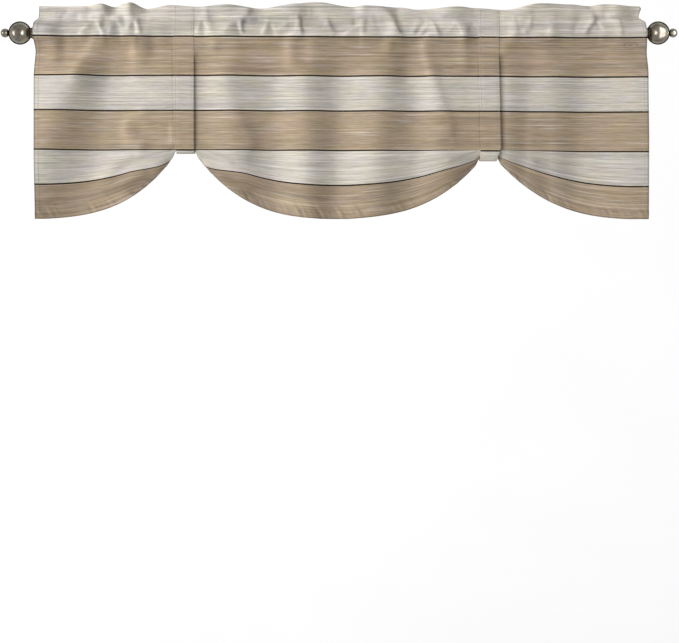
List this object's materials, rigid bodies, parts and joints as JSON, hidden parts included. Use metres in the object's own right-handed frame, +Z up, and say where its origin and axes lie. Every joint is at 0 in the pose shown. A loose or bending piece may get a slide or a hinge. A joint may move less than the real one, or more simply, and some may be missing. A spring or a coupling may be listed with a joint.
{
  "type": "tie-up valance on a curtain rod",
  "caption": "Short printed cloth valance gathered on a round curtain rod with ball finials, its header ruffled and its hem drawn up into swags by sewn ties.",
  "frame": {"origin": "on the rod's axis at the middle of its length", "axes": "+X along the rod to the viewer's right, +Y towards the wall behind the cloth, +Z up"},
  "size_m": [1.459, 0.059, 0.4669],
  "materials": {
    "printed_cloth": "matte woven cloth with a horizontal plank print in off-white and light brown",
    "rod_steel": "satin",
    "antique_pewter": "antique pewter plating, polished on the high spots and dark in the grooves"
  },
  "bodies": {
    "root": {"valance_panel": "printed_cloth", "tie_left": "printed_cloth", "tie_right": "printed_cloth", "rod": "rod_steel", "collar_left": "antique_pewter", "collar_right": "antique_pewter", "finial_left": "antique_pewter", "finial_right": "antique_pewter"}
  },
  "joints": []
}
